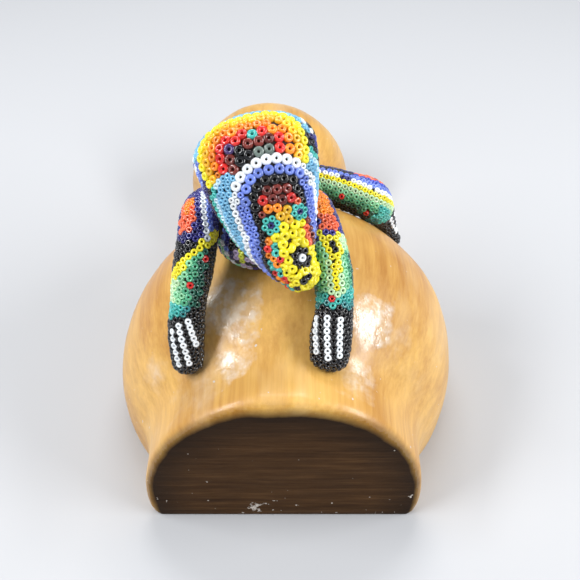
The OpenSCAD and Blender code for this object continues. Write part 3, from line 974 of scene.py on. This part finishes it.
def gourd_material(name, shine, coat):
    """Ochre stain brushed on along the gourd under satin varnish, with a dark foot face and a whitish painted
    highlight where the varnish is thick.
    """
    mat, tree, shader = principled(name)
    link = tree.links.new
    where = node(tree, "ShaderNodeTexCoord")

    def noise_at(scale, stretch=(1, 1, 1), detail=4.0, rough=0.55):
        place = node(tree, "ShaderNodeMapping")
        place.inputs["Scale"].default_value = stretch
        link(where.outputs["Object"], place.inputs["Vector"])
        n = node(tree, "ShaderNodeTexNoise", Scale=scale, Detail=detail, Roughness=rough)
        link(place.outputs["Vector"], n.inputs["Vector"])
        return n.outputs["Fac"]

    def ramp(value, stops):
        r = node(tree, "ShaderNodeValToRGB")
        while len(r.color_ramp.elements) < len(stops):
            r.color_ramp.elements.new(0.5)
        for e, (at, colour) in zip(r.color_ramp.elements, stops):
            e.position = at
            e.color = (*colour, 1)
        link(value, r.inputs["Fac"])
        return r.outputs["Color"]

    def maths(operation, a, b=0.0, clamp=False):
        m = node(tree, "ShaderNodeMath", operation=operation, use_clamp=clamp)
        for socket, value in zip(m.inputs, (a, b)):
            if isinstance(value, (int, float)):
                socket.default_value = value
            else:
                link(value, socket)
        return m.outputs["Value"]

    def plus(a, b, clamp=False):
        return maths("ADD", a, b, clamp)

    def minus(a, b, clamp=False):
        return maths("SUBTRACT", a, b, clamp)

    def times(a, b, clamp=False):
        return maths("MULTIPLY", a, b, clamp)

    def mix(factor, a, b, kind="MIX"):
        m = node(tree, "ShaderNodeMix", data_type="RGBA", blend_type=kind)
        for socket, value in zip((m.inputs[0], m.inputs[6], m.inputs[7]), (factor, a, b)):
            if isinstance(value, (int, float)):
                socket.default_value = value
            elif isinstance(value, tuple):
                socket.default_value = (*value, 1)
            else:
                link(value, socket)
        return m.outputs[2]

    def near_to(spot, radius):
        """1 at the spot, 0 at the radius, less beyond."""
        away = node(tree, "ShaderNodeVectorMath", operation="DISTANCE")
        link(where.outputs["Object"], away.inputs[0])
        away.inputs[1].default_value = (SHIFT + spot) * MM
        return minus(1.0, times(away.outputs["Value"], 1 / (radius * MM)))

    brush = noise_at(900, (1, 0.035, 1), 5.0, 0.65)
    broad = noise_at(220, (1, 0.06, 1), 3.0)
    cloud = noise_at(28, (1, 0.6, 1), 3.0)
    lumps = noise_at(330, (1, 0.8, 1), 2.0)
    ragged = times(minus(noise_at(150, (1, 1, 1), 3.0), 0.5), 2.2)
    # thick varnish, which sets roughness and bumps, and the mask of the whitish painted highlight laid on it
    thick_and_glare = 0.0
    for spot, reach, strength in VARNISH_AND_GLARE_POOLS:
        pool = times(plus(near_to(spot, reach), ragged), 2.0 * strength, clamp=True)
        thick_and_glare = maths("MAXIMUM", thick_and_glare, times(pool, strength))
    stain = ramp(brush, [(0.3, (0.40, 0.17, 0.03)), (0.5, (0.62, 0.33, 0.07)), (0.7, (0.80, 0.50, 0.15))])
    stain = mix(0.50, stain, ramp(broad, [(0.38, (0.40, 0.165, 0.024)), (0.62, (0.74, 0.43, 0.10))]))
    stain = mix(0.45, stain, ramp(cloud, [(0.42, (0.45, 0.195, 0.030)), (0.60, (0.77, 0.46, 0.12))]))

    # the foot face: dark brown, its edge wandering inside the rim
    place = node(tree, "ShaderNodeSeparateXYZ")
    link(where.outputs["Object"], place.inputs["Vector"])
    height = minus(place.outputs["Z"], AXIS_Z * MM)
    radius = maths("SQRT", plus(maths("POWER", place.outputs["X"], 2), maths("POWER", height, 2)))
    wander = times(minus(noise_at(70, (1, 1, 1), 5.0), 0.5), 3.2 * MM)
    sideways = times(maths("ABSOLUTE", place.outputs["X"]), 0.085)
    inside = minus(plus(sideways, 42.6 * MM), plus(radius, wander))
    soft = times(inside, 1 / (4.0 * MM), clamp=True)
    front = minus((ROW_FOOT_Y + 3.0) * MM, place.outputs["Y"])
    front = times(front, 1 / (2 * MM), clamp=True)
    face = times(soft, front)
    cross_brush = noise_at(700, (0.05, 1, 1), 5.0, 0.7)
    dark = ramp(cross_brush, [(0.3, (0.034, 0.014, 0.004)), (0.55, (0.068, 0.031, 0.010)),
                              (0.8, (0.13, 0.064, 0.024))])
    deep = times(inside, 1 / (16 * MM), clamp=True)
    dark = mix(deep, (0.012, 0.006, 0.003), dark)
    colour = mix(face, stain, dark)

    # pale bloom on the varnish in streaks, and a whitish painted highlight where it is thick
    bloom = times(minus(noise_at(60, (1, 0.35, 1), 4.0), 0.50), 3.2, clamp=True)
    bloom = times(bloom, minus(1.0, face))
    colour = mix(times(bloom, 0.45), colour, (0.86, 0.66, 0.38))
    thick_and_glare = times(thick_and_glare, minus(1.0, face))
    # painted highlight: the lamps' whitish glare on the thick varnish, painted into the colour
    glare_paint = times(minus(lumps, 0.40), 3.0, clamp=True)
    glare_paint = times(thick_and_glare, plus(glare_paint, 0.35, clamp=True))
    colour = mix(times(glare_paint, 0.62), colour, PAINTED_GLARE)

    # white specks and chips, mostly low down
    specks = noise_at(420, (1, 1, 1), 2.0)
    low = times(minus(22 * MM, place.outputs["Z"]), 1 / (22 * MM), clamp=True)
    chipped = minus(plus(specks, times(low, 0.05)), 0.735)
    chipped = times(chipped, 30, clamp=True)
    flakes = noise_at(260, (1, 1, 1), 4.0, 0.6)
    for spot, reach in CHIPS:
        chip = plus(flakes, times(near_to(spot, reach), 0.24))
        chipped = maths("MAXIMUM", chipped, times(minus(chip, 0.70), 25, clamp=True))
    colour = mix(chipped, colour, (0.62, 0.56, 0.50))
    link(colour, shader.inputs["Base Color"])

    # satin, and glossier where the varnish is thick
    gloss = plus(times(thick_and_glare, -0.27), plus(times(brush, 0.14), 0.36))
    gloss = plus(gloss, times(face, 0.22))
    link(gloss, shader.inputs["Roughness"])
    shader.inputs["Specular IOR Level"].default_value = shine
    shader.inputs["Coat Weight"].default_value = coat
    shader.inputs["Coat Roughness"].default_value = 0.22
    shader.inputs["IOR"].default_value = 1.5

    strokes = node(tree, "ShaderNodeBump", Strength=0.35, Distance=0.00022)
    link(brush, strokes.inputs["Height"])
    bumps = node(tree, "ShaderNodeBump", Strength=0.6, Distance=0.0005)
    link(times(lumps, plus(times(thick_and_glare, 0.9), 0.25)), bumps.inputs["Height"])
    link(strokes.outputs["Normal"], bumps.inputs["Normal"])
    link(bumps.outputs["Normal"], shader.inputs["Normal"])
    return mat


VOXEL = 1.0          # size of the remeshed gourd's faces, in mm
SOFTEN = 6           # rounds of smoothing, which ease its edges
LEAN = 1.8           # how far the large bulb's back leans to the right, in mm


def gourd_piece():
    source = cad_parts["gourd_base"]
    ob = add_object("gourd_base_carved", source.data.copy())
    ob.matrix_world = source.matrix_world
    remesh = ob.modifiers.new("remesh", "REMESH")
    remesh.mode = "VOXEL"
    remesh.voxel_size = VOXEL * MM
    softer = ob.modifiers.new("soften", "SMOOTH")
    softer.iterations = SOFTEN
    softer.factor = 0.5
    bpy.context.view_layer.update()
    done = bpy.data.meshes.new_from_object(ob.evaluated_get(bpy.context.evaluated_depsgraph_get()))
    ob.modifiers.clear()
    ob.data = done
    co, normals = np.empty((2, len(done.vertices) * 3), np.float32)
    done.vertices.foreach_get("co", co)
    done.vertices.foreach_get("normal", normals)
    co, normals = co.reshape(-1, 3), normals.reshape(-1, 3)
    swell = np.array([noise.noise(Vector((x * 45, y * 40, z * 45))) * 0.45
                      + noise.noise(Vector((x * 170, y * 60, z * 170))) * 0.13 for x, y, z in co])
    free = np.clip((co[:, 2] - 0.5 * MM) / (3 * MM), 0, 1)
    co += normals * (swell * free * MM)[:, None]
    co[:, 2] = np.maximum(co[:, 2], 0)
    co[:, 0] += LEAN * MM * np.exp(-((co[:, 1] / MM - BULB[1] - 22) / 26) ** 2)
    done.vertices.foreach_set("co", co.ravel())
    done.materials.clear()
    done.materials.append(gourd_material("gourd_varnished", 0.5, 0.25))
    done.materials.append(gourd_material("gourd_foot_face", 0.12, 0.0))
    on_face = [p.center.y < (ROW_FOOT_Y + 0.5) * MM for p in done.polygons]
    done.polygons.foreach_set("material_index", np.array(on_face, np.int32))
    done.polygons.foreach_set("use_smooth", np.full(len(done.polygons), True))
    done.update()
    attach(ob, "root")
    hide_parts("gourd_base")


gourd_piece()


# ---------- CAD nodes that stay

def repaint(names, material):
    for name in names:
        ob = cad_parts[name]
        for slot in ob.material_slots:
            slot.link = "OBJECT"
            slot.material = material


core_wood = wood_material("core_wood", (0.30, 0.19, 0.10), (0.55, 0.40, 0.24))
peg_wood = wood_material("peg_wood", (0.42, 0.30, 0.17), (0.66, 0.52, 0.34))
repaint([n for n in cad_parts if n.endswith("_core")], core_wood)
repaint([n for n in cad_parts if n.endswith(("_peg", "_dowel"))], peg_wood)


def drop_piece():
    """A pressed, uneven drop of wax at the right hand's tip."""
    spot = SHIFT + (13.1, -48.4, 55.4)
    out = unit(spot - BULB)
    u = unit(np.cross(out, (1, 0, 0)))
    v = np.cross(out, u)
    points, quads = [], []
    rings, around = 10, 20
    for i in range(rings + 1):
        tilt = math.pi * max(0.03, min(0.97, i / rings))
        for k in range(around):
            turn = 2 * math.pi * k / around
            way = (u * math.cos(turn) * 1.5 + v * math.sin(turn) * 2.2) * math.sin(tilt)
            way += out * math.cos(tilt) * 1.1
            lump = 1 + 0.55 * noise.noise(Vector(way * 0.9 + 3))
            points.append((BULB + out * (BULB_R + 0.4) + way * lump) * MM)
    for i in range(rings):
        for k in range(around):
            a, b = i * around + k, i * around + (k + 1) % around
            quads.append((a, a + around, b + around, b))
    ob = mesh_object("wax_drop", points, quads, [drop_wax])
    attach(ob, "root")
    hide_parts("wax_nub")


drop_piece()


# ---------- floor, light and camera

def floor_piece():
    me = bpy.data.meshes.new("floor")
    half = 3.0
    me.from_pydata([(-half, -half, 0), (half, -half, 0), (half, half, 0), (-half, half, 0)], [],
                   [(0, 1, 2, 3)])
    ob = add_object("floor", me)
    mat, tree, shader = principled("floor_paper")
    shader.inputs["Roughness"].default_value = 0.85
    shader.inputs["Base Color"].default_value = (0.50, 0.51, 0.53, 1)
    me.materials.append(mat)


FIGURE = (0, -0.03, 0.05)     # what the lights are aimed at


def softbox(name, at, size, power, roll=0.0):
    """A rectangular light aimed at the figure, turned by roll about its aim."""
    light = bpy.data.lights.new(name, "AREA")
    light.shape = "RECTANGLE"
    light.size, light.size_y = size
    light.energy = power
    ob = add_object(name, light)
    ob.location = at
    aim = (Vector(FIGURE) - Vector(at)).to_track_quat("-Z", "Y")
    ob.rotation_euler = (aim @ Quaternion((0, 0, 1), roll)).to_euler()


def world_light(strength):
    """Even, slightly blue light from all round."""
    world = bpy.data.worlds.new("studio")
    world.use_nodes = True
    back = world.node_tree.nodes["Background"]
    back.inputs["Color"].default_value = (0.9, 0.94, 1.0, 1)
    back.inputs["Strength"].default_value = strength
    bpy.context.scene.world = world


floor_piece()
world_light(0.31)
softbox("left", (-0.59, -0.22, 0.63), (0.72, 0.13), 6.8, -0.5)
softbox("right", (0.65, -0.22, 0.47), (0.70, 0.13), 6.2, 0.37)
softbox("top", (0.0, 0.40, 0.80), (0.5, 0.2), 4.0)
bpy.context.scene.view_settings.view_transform = "Standard"

camera = bpy.data.cameras.new("camera")
camera.sensor_width = 36
camera.lens = 49.66
camera.clip_start = 0.01
camera_ob = bpy.data.objects.new("camera", camera)
camera_ob.location = (2 * MM, -214 * MM + SHIFT[1] * MM, 231 * MM)
camera_ob.rotation_euler = (math.radians(90 - 40.6), 0, 0)
bpy.context.scene.collection.objects.link(camera_ob)
bpy.context.scene.camera = camera_ob
